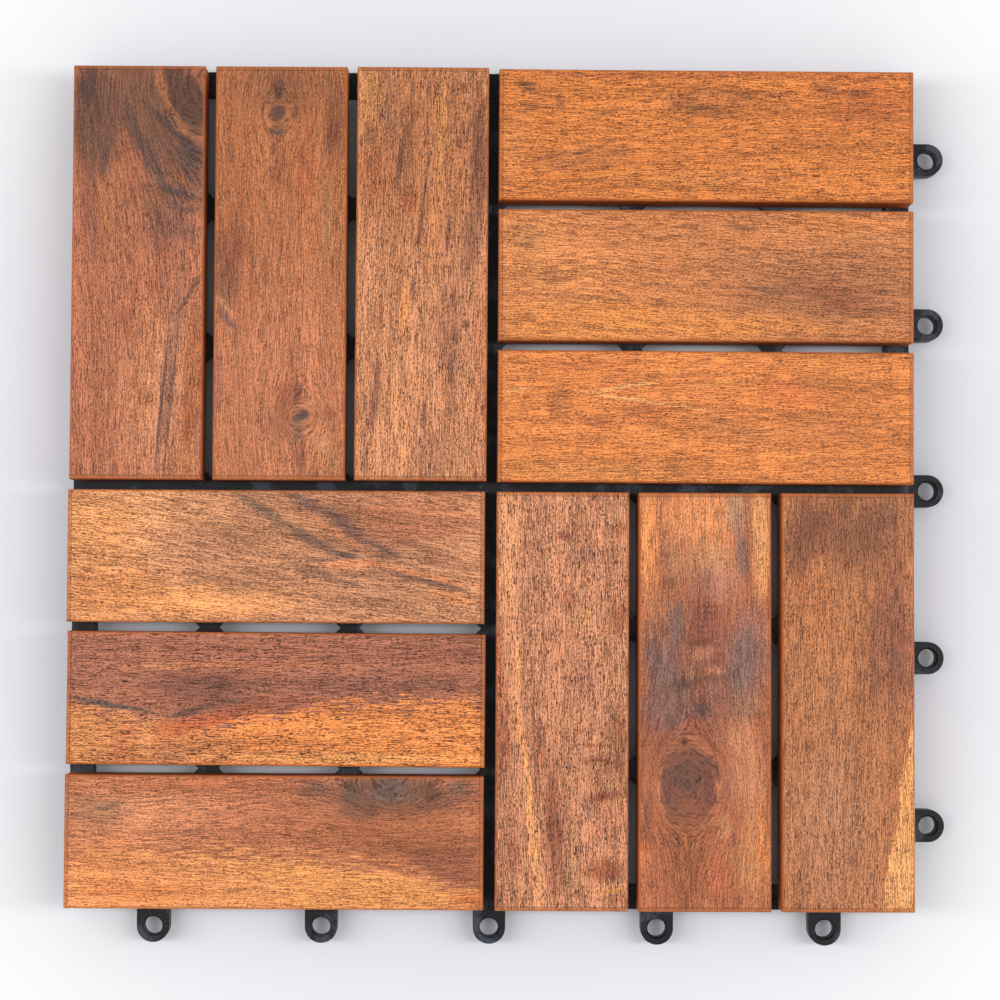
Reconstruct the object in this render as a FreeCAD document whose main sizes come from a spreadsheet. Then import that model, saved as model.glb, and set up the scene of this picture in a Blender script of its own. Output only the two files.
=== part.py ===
import FreeCAD, Part
import math
import os
import Sketcher
from FreeCAD import Placement, Rotation, Vector

# An interlocking deck tile: twelve wooden slats screwed to a moulded plastic base.
# Millimetres. The origin is the centre of the tile on the ground, +Z is up,
# the joining loops stand out to +X (right) and -Y (front).

os.makedirs("parts", exist_ok=True)
doc = FreeCAD.newDocument("deck_tile")

# Driving dimensions, one cell each
dimensions = {
    "tile_module": 300.0,         # from one tile's centre to the next one's
    "edge_relief": 0.3,           # base edge inside the module line
    "slat_width": 46.9,
    "slat_length": 147.5,
    "slat_thickness": 12.0,
    "slat_gap": 3.4,              # between two slats side by side
    "centre_gap": 3.6,            # across the two centre lines
    "arris_radius": 1.1,          # rounded upper edges of a slat
    "base_height": 12.0,          # ground to the underside of the slats
    "plate_thickness": 3.0,       # flat top of band, bars and ribs
    "underside_lift": 3.0,        # ground to the lower edge of walls, webs and bosses
    "band_width": 8.0,            # border band
    "wall_thickness": 1.8,        # the band's two skirt walls
    "bar_width": 5.2,             # the two centre bars
    "rib_width": 4.8,             # diagonal ribs
    "web_thickness": 2.0,         # under ribs and bars
    "groove_width": 0.7,          # line along the centre bars
    "groove_depth": 0.4,
    "hub_radius": 2.9,            # round pad at the tile's centre, inside its groove
    "foot_radius": 3.2,           # feet under the lattice
    "edge_foot_radius": 3.0,      # feet under the band
    "loop_pitch": 60.0,           # along a side, for loops and pegs
    "loop_reach": 7.0,            # hole centre outside the module line
    "loop_radius": 5.8,           # outside of a loop
    "loop_hole_radius": 3.3,
    "loop_top": 8.5,              # above the ground
    "loop_height": 5.5,
    "loop_lead": 0.5,             # tapered mouth of a loop's hole
    "peg_clearance": 0.2,         # peg to loop hole, on the radius
    "peg_tip_height": 2.0,        # above the ground
    "pocket_clearance": 0.6,      # round a neighbour's loop
    "boss_radius": 3.9,           # screw bosses
    "screw_radius": 1.75,
    "screw_hole_clearance": 0.25, # screw to base, on the radius
    "screw_bite_clearance": 0.02, # screw to slat, on the radius
    "screw_grip": 8.0,            # length of screw in the slat
    "screw_head_radius": 3.1,
    "screw_head_height": 1.8,
    "pilot_extra": 0.8,           # pilot hole past the screw's end
}

# The four quarters: direction of their slats and which way they lie from the centre
quarters = {
    "back_left": {"lengthwise": 90, "right": -1, "back": 1},
    "back_right": {"lengthwise": 0, "right": 1, "back": 1},
    "front_left": {"lengthwise": 0, "right": -1, "back": -1},
    "front_right": {"lengthwise": 90, "right": 1, "back": -1},
}

# The slats were laid by hand, so the gaps are a little uneven. Each slat's shift to the
# right, shift to the back (mm) and turn (degrees), from the tile's centre outwards.
laid = {
    "back_left": [(-0.1, 0.1, -0.1), (0.0, 0.0, 0.0), (-0.3, 0.0, 0.0)],
    "back_right": [(0.1, -0.1, -0.1), (0.1, -0.1, 0.0), (0.1, -0.4, -0.1)],
    "front_left": [(-0.5, 0.0, 0.0), (-0.1, 0.0, -0.2), (-0.4, 0.1, 0.0)],
    "front_right": [(0.1, 0.1, 0.0), (0.1, 0.1, 0.1), (0.3, 0.2, 0.1)],
}
for quarter, slats in laid.items():
    for count, (right, back, turn) in enumerate(slats, start=1):
        dimensions[f"{quarter}_{count}_shift_right"] = right
        dimensions[f"{quarter}_{count}_shift_back"] = back
        dimensions[f"{quarter}_{count}_turn"] = turn

sheet = doc.addObject("Spreadsheet::Sheet", "sizes")
for row, (name, value) in enumerate(dimensions.items(), start=1):
    sheet.set(f"A{row}", name)
    sheet.set(f"B{row}", str(value))
    sheet.setAlias(f"B{row}", name)
doc.recompute()


def size(name):
    return f"sizes.{name}"


def number(expression):
    return float(sheet.evalExpression(expression))


# Sizes that follow from the driving ones
slatPitch = "(sizes.slat_width + sizes.slat_gap)"
slatMiddle = "(sizes.centre_gap / 2 + sizes.slat_length / 2)"
baseEdge = "(sizes.tile_module / 2 - sizes.edge_relief)"
bandMiddle = f"({baseEdge} - sizes.band_width / 2)"
bandInside = f"({baseEdge} - sizes.band_width)"
plateUnder = "(sizes.base_height - sizes.plate_thickness)"
wallHeight = f"({plateUnder} - sizes.underside_lift)"
loopLine = "(sizes.tile_module / 2 + sizes.loop_reach)"
pegLine = "(sizes.tile_module / 2 - sizes.loop_reach)"
loopUnder = "(sizes.loop_top - sizes.loop_height)"
pegRadius = "(sizes.loop_hole_radius - sizes.peg_clearance)"
screwHoleRadius = "(sizes.screw_radius + sizes.screw_hole_clearance)"
pilotRadius = "(sizes.screw_radius + sizes.screw_bite_clearance)"


def bind(thing, **values):
    for name, expression in values.items():
        thing.setExpression(name, expression)
    return thing


def place(thing, x, y, z, turn=0):
    thing.Placement = Placement(Vector(), Rotation(Vector(0, 0, 1), turn))
    thing.setExpression("Placement.Base.x", x)
    thing.setExpression("Placement.Base.y", y)
    thing.setExpression("Placement.Base.z", z)
    return thing


def block(length, width, height, x, y, z, turn=0):
    """A block centred on x, y, standing on z, turned about its own centre."""
    thing = doc.addObject("Part::Box", "block")
    bind(thing, Length=length, Width=width, Height=height)
    cosine = math.cos(math.radians(turn))
    sine = math.sin(math.radians(turn))
    cornerX = f"{x} - ({length}) / 2 * {cosine} + ({width}) / 2 * {sine}"
    cornerY = f"{y} - ({length}) / 2 * {sine} - ({width}) / 2 * {cosine}"
    return place(thing, cornerX, cornerY, z, turn)


def rod(radius, height, x, y, z):
    thing = doc.addObject("Part::Cylinder", "rod")
    bind(thing, Radius=radius, Height=height)
    return place(thing, x, y, z)


def taper(lowRadius, highRadius, height, x, y, z):
    thing = doc.addObject("Part::Cone", "taper")
    bind(thing, Radius1=lowRadius, Radius2=highRadius, Height=height)
    return place(thing, x, y, z)


def post(radius, height, x, y, z):
    """An eight-sided upright, its flats square to the ribs."""
    thing = doc.addObject("Part::Prism", "post")
    thing.Polygon = 8
    bind(thing, Circumradius=radius, Height=height)
    return place(thing, x, y, z, 22.5)


def joined(things, label):
    thing = doc.addObject("Part::MultiFuse", label)
    thing.Shapes = things
    thing.Refine = True
    return thing


def less(whole, removed, label):
    thing = doc.addObject("Part::Cut", label)
    thing.Base = whole
    thing.Tool = removed
    thing.Refine = True
    return thing


def frameRing(outside, inside, height, z, label):
    """A square ring between two half widths."""
    outer = block(f"2 * {outside}", f"2 * {outside}", height, "0", "0", z)
    inner = block(f"2 * {inside}", f"2 * {inside}", height, "0", "0", z)
    return less(outer, inner, label)


# The lattice: ribs at 45 degrees both ways, crossing in the gaps between the slats
# and again under each slat's middle.

ribCount = 5                      # each side of the diagonal
nodeCount = 2                     # lattice feet each side of the centre


def lattice(width, height, z, reach):
    """Diagonal bars of one width, their ends on the square of half width reach."""
    bars = []
    for direction in (1, -1):
        for step in range(-ribCount, ribCount + 1):
            length = f"(sqrt(2) * (2 * {reach} - {abs(step)} * {slatPitch}))"
            x = f"({step} * {slatPitch} / 2)"
            y = f"({-step * direction} * {slatPitch} / 2)"
            bars.append(block(length, width, height, x, y, z, 45 * direction))
    return bars


def centreBars(width, height, z, reach):
    return [block(f"2 * {reach}", width, height, "0", "0", z, turn) for turn in (0, 90)]


# Plate level: everything seen from above lies in one flat top.
band = frameRing(baseEdge, bandInside, size("plate_thickness"), plateUnder, "border_band")
ribs = lattice(size("rib_width"), size("plate_thickness"), plateUnder, bandMiddle)
bars = centreBars(size("bar_width"), size("plate_thickness"), plateUnder, bandMiddle)
flatTop = joined([band] + ribs + bars, "flat_top")

# Underside: the band's two skirt walls, a web under each rib and bar.
webEnd = f"({bandInside} + sizes.wall_thickness / 2)"
outerWall = frameRing(baseEdge, f"({baseEdge} - sizes.wall_thickness)", wallHeight,
                      size("underside_lift"), "outer_wall")
innerWall = frameRing(f"({bandInside} + sizes.wall_thickness)", bandInside, wallHeight,
                      size("underside_lift"), "inner_wall")
webs = lattice(size("web_thickness"), wallHeight, size("underside_lift"), webEnd)
barWebs = centreBars(size("web_thickness"), wallHeight, size("underside_lift"), webEnd)


# Screw bosses: each slat is held near both ends, where ribs cross under its middle line.
slatSteps = (0.5, 1.5, 2.5)       # slat pitches from the tile's centre
screwSteps = (0.5, 2.5)


def screwPlaces():
    places = []
    for quarter in quarters.values():
        for across in slatSteps:
            for along in screwSteps:
                steps = (along, across) if quarter["lengthwise"] == 0 else (across, along)
                right = quarter["right"] * steps[0]
                back = quarter["back"] * steps[1]
                places.append((f"({right} * {slatPitch})", f"({back} * {slatPitch})"))
    return places


bosses = [post(size("boss_radius"), wallHeight, x, y, size("underside_lift"))
          for x, y in screwPlaces()]

screwHoles = [post(screwHoleRadius, size("base_height"), x, y, "0") for x, y in screwPlaces()]

# Feet under every second lattice crossing, and under the band between the loops or pegs.
nodeSteps = range(-nodeCount, nodeCount + 1)
feet = [post(size("foot_radius"), plateUnder, f"({right} * {slatPitch})",
             f"({back} * {slatPitch})", "0")
        for right in nodeSteps for back in nodeSteps if (right + back) % 2 == 0]
edgeSteps = (-1.5, 1.5)           # loop pitches from the middle of a side
edgePlaces = [(f"({side} * {bandMiddle})", f"({step} * sizes.loop_pitch)")
              for side in (-1, 1) for step in edgeSteps]
edgePlaces += [(y, x) for x, y in edgePlaces]
edgePlaces += [(f"({right} * {bandMiddle})", f"({back} * {bandMiddle})")
               for right in (-1, 1) for back in (-1, 1)]
edgeFeet = [post(size("edge_foot_radius"), plateUnder, x, y, "0") for x, y in edgePlaces]

underside = joined([outerWall, innerWall] + webs + barWebs + bosses + feet + edgeFeet,
                   "underside")

# The fine line along both bars, which ends in a ring round the hub.
grooveFloor = "(sizes.base_height - sizes.groove_depth)"
lines = centreBars(size("groove_width"), size("groove_depth"), grooveFloor, baseEdge)
ring = rod("(sizes.hub_radius + sizes.groove_width)", size("groove_depth"), "0", "0", grooveFloor)
hub = rod(size("hub_radius"), size("groove_depth"), "0", "0", grooveFloor)
grooves = less(joined(lines + [ring], "groove_lines"), hub, "grooves")

# Joining loops on the right and front sides, pegs under the left and back sides. A peg
# stands in a square pocket that clears the neighbour's loop.
sideSteps = (-2, -1, 0, 1, 2)
sides = {"right": (1, 0), "left": (-1, 0), "back": (0, 1), "front": (0, -1)}


def onSide(side, outward, step):
    """The place on a line beside one side, a number of loop pitches from its middle."""
    right, back = sides[side]
    alongSide = f"({step} * sizes.loop_pitch)"
    return (f"({right} * {outward})", alongSide) if back == 0 else (alongSide, f"({back} * {outward})")


def turnOf(side):
    return 0 if sides[side][1] == 0 else 90


def tab(side, step, line, reach, radius, height, z):
    """A round end on the line with an arm as wide, its length signed outward."""
    eyeX, eyeY = onSide(side, line, step)
    armX, armY = onSide(side, f"({line} + ({reach}) / 2)", step)
    eye = rod(radius, height, eyeX, eyeY, z)
    arm = block(f"abs({reach})", f"(2 * {radius})", height, armX, armY, z, turnOf(side))
    return joined([eye, arm], f"tab_{side}")


def loop(side, step):
    """A tab out of the outer wall with a hole, wider at its mouth."""
    inward = f"({baseEdge} - sizes.wall_thickness / 2 - {loopLine})"
    x, y = onSide(side, loopLine, step)
    mouthFloor = "(sizes.loop_top - sizes.loop_lead)"
    hole = rod(size("loop_hole_radius"), size("loop_height"), x, y, loopUnder)
    mouth = taper(size("loop_hole_radius"), "(sizes.loop_hole_radius + sizes.loop_lead)",
                  size("loop_lead"), x, y, mouthFloor)
    solid = tab(side, step, loopLine, inward, size("loop_radius"), size("loop_height"), loopUnder)
    return less(solid, joined([hole, mouth], "loop_hole"), f"loop_{side}")


loops = [loop(side, step) for side in ("right", "front") for step in sideSteps]

pockets = []
pegs = []
pocketRadius = "(sizes.loop_radius + sizes.pocket_clearance)"
for side in ("left", "back"):
    for step in sideSteps:
        depth = f"({baseEdge} - {pegLine} + {pocketRadius} + sizes.wall_thickness)"
        middle = f"({pegLine} - {pocketRadius} + {depth} / 2)"
        middleX, middleY = onSide(side, middle, step)
        pockets.append(block(depth, f"(2 * {pocketRadius})", plateUnder, middleX, middleY, "0",
                             turnOf(side)))
        x, y = onSide(side, pegLine, step)
        pegs.append(rod(pegRadius, f"({plateUnder} - sizes.peg_tip_height)", x, y,
                        size("peg_tip_height")))

# The moulding: drilled plate, underside open at the pockets and screw holes, loops, pegs.
topPlate = less(flatTop, joined(screwHoles + [grooves], "plate_openings"), "top_plate")
openUnderside = less(underside, joined(pockets + screwHoles, "underside_openings"), "open_underside")
base = joined([topPlate, openUnderside] + loops + pegs, "base_grid")
parts = {"base_grid": base}


# A slat: a planed board with eased upper edges, drilled from below through the bosses.
def originPlane(body, role):
    return next(plane for plane in body.Origin.OriginFeatures if plane.Role == role)


def rectangle(sketch, length, width):
    """A rectangle about the sketch's origin, its length and width bound to the sheet."""
    x = number(length) / 2
    y = number(width) / 2
    corners = [Vector(-x, -y), Vector(x, -y), Vector(x, y), Vector(-x, y)]
    for start, end in zip(corners, corners[1:] + corners[:1]):
        sketch.addGeometry(Part.LineSegment(start, end), False)
    for line, kind in enumerate(("Horizontal", "Vertical", "Horizontal", "Vertical")):
        sketch.addConstraint(Sketcher.Constraint("Coincident", line, 2, (line + 1) % 4, 1))
        sketch.addConstraint(Sketcher.Constraint(kind, line))
    sketch.addConstraint(Sketcher.Constraint("Symmetric", 0, 1, 2, 1, -1, 1))
    for name, kind, line, expression in (("long", "DistanceX", 0, length), ("wide", "DistanceY", 1, width)):
        index = sketch.addConstraint(Sketcher.Constraint(kind, line, 1, line, 2, number(expression)))
        sketch.renameConstraint(index, name)
        sketch.setExpression(f"Constraints.{name}", expression)


def board(label, middleX, middleY, angle):
    body = doc.addObject("PartDesign::Body", f"board_{label}")
    outline = body.newObject("Sketcher::SketchObject", "outline")
    outline.AttachmentSupport = (originPlane(body, "XY_Plane"), "")
    outline.MapMode = "FlatFace"
    rectangle(outline, size("slat_length"), size("slat_width"))
    pad = body.newObject("PartDesign::Pad", "planed")
    pad.Profile = outline
    bind(pad, Length=size("slat_thickness"))
    doc.recompute()
    upper = number(size("slat_thickness")) / 2
    upperEdges = [f"Edge{count}" for count, edge in enumerate(pad.Shape.Edges, start=1)
                  if edge.BoundBox.ZMin > upper]
    eased = body.newObject("PartDesign::Fillet", "eased_edges")
    eased.Base = (pad, upperEdges)
    bind(eased, Radius=size("arris_radius"))
    place(body, middleX, middleY, size("base_height"))
    body.setExpression("Placement.Rotation.Angle", angle)
    return body


def slat(label, quarter, count):
    right = f"({quarter['right']} * {slatPitch} * {count - 0.5})"
    back = f"({quarter['back']} * {slatPitch} * {count - 0.5})"
    if quarter["lengthwise"] == 0:
        screws = [(f"({quarter['right']} * {slatPitch} * {end})", back) for end in screwSteps]
        right = f"({quarter['right']} * {slatMiddle})"
    else:
        screws = [(right, f"({quarter['back']} * {slatPitch} * {end})") for end in screwSteps]
        back = f"({quarter['back']} * {slatMiddle})"
    middleX = f"({right} + {size(label + '_shift_right')})"
    middleY = f"({back} + {size(label + '_shift_back')})"
    angle = f"({quarter['lengthwise']} + {size(label + '_turn')})"
    pilots = [post(pilotRadius, "(sizes.screw_grip + sizes.pilot_extra)", x, y, size("base_height"))
              for x, y in screws]
    return less(board(label, middleX, middleY, angle), joined(pilots, "pilot_holes"), f"slat_{label}")


for quarterName, quarter in quarters.items():
    for count in (1, 2, 3):
        label = f"{quarterName}_{count}"
        parts[f"slat_{label}"] = slat(label, quarter, count)


# A screw: flat head under the boss, shank up through the base into the slat.
def screw(x, y):
    headFloor = "(sizes.underside_lift - sizes.screw_head_height)"
    head = post(size("screw_head_radius"), size("screw_head_height"), x, y, headFloor)
    shank = post(size("screw_radius"), "(sizes.base_height + sizes.screw_grip - sizes.underside_lift)",
                 x, y, size("underside_lift"))
    return joined([head, shank], "screw")


screws = doc.addObject("Part::Compound", "screws")
screws.Links = [screw(x, y) for x, y in screwPlaces()]
parts["screws"] = screws

doc.recompute()
for thing in doc.Objects:
    if "Invalid" in thing.State or "Error" in thing.State:
        raise RuntimeError(f"{thing.Label} did not build: {thing.State}")
for name, thing in parts.items():
    if thing.Shape.isNull() or not thing.Shape.isValid():
        raise RuntimeError(f"{name} has no sound solid")
for name, thing in parts.items():
    thing.Label = name
    thing.Shape.exportStep(f"parts/{name}.step")
    solids = thing.Shape.Solids
    print(f"{name}: {len(solids)} solids, {thing.Shape.Volume / 1000:.2f} cm3")
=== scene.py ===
import math

import bmesh
import bpy
from mathutils import Matrix, Vector


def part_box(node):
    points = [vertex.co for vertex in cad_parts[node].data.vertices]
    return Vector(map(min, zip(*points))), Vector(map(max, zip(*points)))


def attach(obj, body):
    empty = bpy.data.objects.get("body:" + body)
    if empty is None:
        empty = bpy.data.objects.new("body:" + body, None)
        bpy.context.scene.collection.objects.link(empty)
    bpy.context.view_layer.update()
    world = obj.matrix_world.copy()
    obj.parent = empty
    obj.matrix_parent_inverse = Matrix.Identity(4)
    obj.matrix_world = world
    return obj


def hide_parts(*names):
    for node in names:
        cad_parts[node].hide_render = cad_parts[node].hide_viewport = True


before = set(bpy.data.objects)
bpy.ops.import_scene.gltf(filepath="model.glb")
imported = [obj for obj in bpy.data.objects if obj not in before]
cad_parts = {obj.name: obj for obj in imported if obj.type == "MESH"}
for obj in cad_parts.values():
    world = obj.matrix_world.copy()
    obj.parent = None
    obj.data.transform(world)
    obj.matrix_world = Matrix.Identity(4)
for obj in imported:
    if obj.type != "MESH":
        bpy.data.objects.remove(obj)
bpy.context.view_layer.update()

# Deck tile: oiled slats on a black plastic base, seen from straight above
millimetre = 0.001
print("frame loaded:", len(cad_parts), "nodes")


class Shade:
    # One socket in a material's nodes, so that shader maths is written as maths
    def __init__(self, finish, socket):
        self.finish = finish
        self.socket = socket

    def maths(self, operation, first, second):
        return self.finish.add("ShaderNodeMath", {"operation": operation}, {0: first, 1: second})

    def __add__(self, other):
        return self.maths("ADD", self, other)

    def __sub__(self, other):
        return self.maths("SUBTRACT", self, other)

    def __rsub__(self, other):
        return self.maths("SUBTRACT", other, self)

    def __mul__(self, other):
        return self.maths("MULTIPLY", self, other)

    def __truediv__(self, other):
        return self.maths("DIVIDE", self, other)

    def __rtruediv__(self, other):
        return self.maths("DIVIDE", other, self)

    __radd__ = __add__
    __rmul__ = __mul__


class Finish:
    # A material being made up, node by node
    def __init__(self, name):
        self.material = bpy.data.materials.new(name)
        self.material.use_nodes = True
        self.tree = self.material.node_tree
        self.tree.nodes.clear()

    def add(self, kind, settings=None, values=None, output=0):
        node = self.tree.nodes.new(kind)
        for name, value in (settings or {}).items():
            setattr(node, name, value)
        for name, value in (values or {}).items():
            if isinstance(value, Shade):
                self.tree.links.new(value.socket, node.inputs[name])
            else:
                node.inputs[name].default_value = value
        return Shade(self, node.outputs[output]) if len(node.outputs) else None

    def parts(self, place):
        first = self.add("ShaderNodeSeparateXYZ", None, {0: place})
        return [Shade(self, socket) for socket in first.socket.node.outputs]

    def vector(self, x, y, z):
        return self.add("ShaderNodeCombineXYZ", None, {0: x, 1: y, 2: z})

    def step(self, value, start, end, most=1.0):
        # Smooth from 0 at start to the most at end, whichever of them is the larger
        rising = start < end
        return self.add("ShaderNodeMapRange", {"interpolation_type": "SMOOTHSTEP"},
                        {0: value, 1: min(start, end), 2: max(start, end),
                         3: 0.0 if rising else most, 4: most if rising else 0.0})

    def mix(self, factor, first, second, blend="MIX"):
        return self.add("ShaderNodeMix", {"data_type": "RGBA", "blend_type": blend},
                        {0: factor, 6: first, 7: second}, 2)

    def noise(self, place, size, detail=1.0):
        # Noise from 0 to 1, mostly near the middle, whose blotches are about this long each way
        scaled = self.add("ShaderNodeVectorMath", {"operation": "DIVIDE"}, {0: place, 1: size})
        return self.add("ShaderNodeTexNoise", None, {"Vector": scaled, "Scale": 1.0, "Detail": detail})

    def wave(self, place, size, detail=1.0):
        # The same about 0
        return self.noise(place, size, detail) - 0.5

    def bump(self, height, strength, depth):
        return self.add("ShaderNodeBump", None, {"Strength": strength, "Distance": depth, "Height": height})

    def surface(self, values):
        shader = self.add("ShaderNodeBsdfPrincipled", None, values)
        self.add("ShaderNodeOutputMaterial", None, {"Surface": shader})
        return self.material


def paint(code):
    # A colour as light, from its six-digit web code
    parts = [int(code[at:at + 2], 16) / 255 for at in (0, 2, 4)]
    return (*[part / 12.92 if part < 0.04045 else ((part + 0.055) / 1.055) ** 2.4 for part in parts], 1.0)


def corners(node):
    # The four corners of a slat's underside, from the left front one anticlockwise
    points = [vertex.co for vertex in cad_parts[node].data.vertices]
    floor = min(point.z for point in points)
    low = [point for point in points if point.z < floor + 0.01 * millimetre]
    return [max(low, key=lambda point: point.x * right + point.y * back).copy()
            for right, back in ((-1, -1), (1, -1), (1, 1), (-1, 1))]


# What the wood shares. Lengths in millimetres, sizes of noise as along, across and down.
woodSettings = {
    "darkTint": (0.50, 0.43, 0.39, 1),  # the streaks multiply the colours by something between these
    "paleTint": (1.56, 1.44, 1.38, 1),
    "boardStep": (211.0, 97.0),   # how far apart the slats lie in the noise
    "grainStep": 131.0,
    "strandStep": 57.0,
    "slowWave": (75.0, 34.0, 40.0),
    "quickWave": (17.0, 6.0, 10.0),
    "quickWander": 1.2,
    "knotRings": 0.35,            # how tightly the rings of a knot lie
    "knotEdge": (1.2, 0.7),       # shares of its radius between which the streaks fade
    "knotCalm": 0.6,
    "jitter": (3.2, 1.0, 2.0),
    "jitterAlong": 2.0,
    "jitterAcross": 0.5,
    "feather": (9.0, 1.0, 2.0),
    "blotch": (16.0, 12.0, 12.0),
    "looseEdge": (14.0, 5.0, 1.6),  # how far the edges of large marks stray, and of small ones
    "closeEdge": (4.0, 1.4, 0.9),
    "largeMark": (8.9, 2.9),      # a larger half length and half width make a mark large
    "ragged": 0.7,
    "spill": 0.6,
    "broad": (120.0, 7.0, 10.0),
    "middle": (42.0, 1.8, 3.0),
    "fine": (8.0, 0.36, 0.8),
    "dash": (0.8, 0.3, 0.5),
    "streakWeights": (0.9, 0.9, 2.3, 2.0),
    "ripple": (3.0, 16.0, 20.0),
    "longPore": (5.0, 0.33, 0.5),
    "shortPore": (1.5, 0.36, 0.5),
    "crowd": (9.0, 5.0, 6.0),
    "poreWeight": 0.6,
    "crowdWeight": 0.2,
    "poreEdge": (0.75, 0.85),
    "poreColour": "4a2418",
    "poreAmount": 0.8,
    # Painted light and shade on the eased edges, and a painted dark line at the ends of the planed face
    "endPaintedArris": (1.5, 1.0),         # distances from the end and from the side
    "sidePaintedArris": (1.0, 0.5),
    "paintedArrisColour": "b8642c",
    "paintedArrisAmount": 0.6,
    "endShadeOuter": (1.1, 1.4),
    "endShadeInner": (1.9, 1.5),
    "endShadeColour": "4a2412",
    "endShadeAmount": 0.45,
    "endFacing": (0.6, 0.95),     # the sawn ends, by how squarely a face looks along the slat
    "endColour": "7a4322",
    "endAmount": 0.6,
    "roughness": 0.52,
    "poreRoughness": 0.2,
    "fineShine": 0.1,
    "shine": 0.35,
    "fineHeight": 0.8,
    "bumpStrength": 0.35,
    "bumpDepth": 0.1,
}

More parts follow.
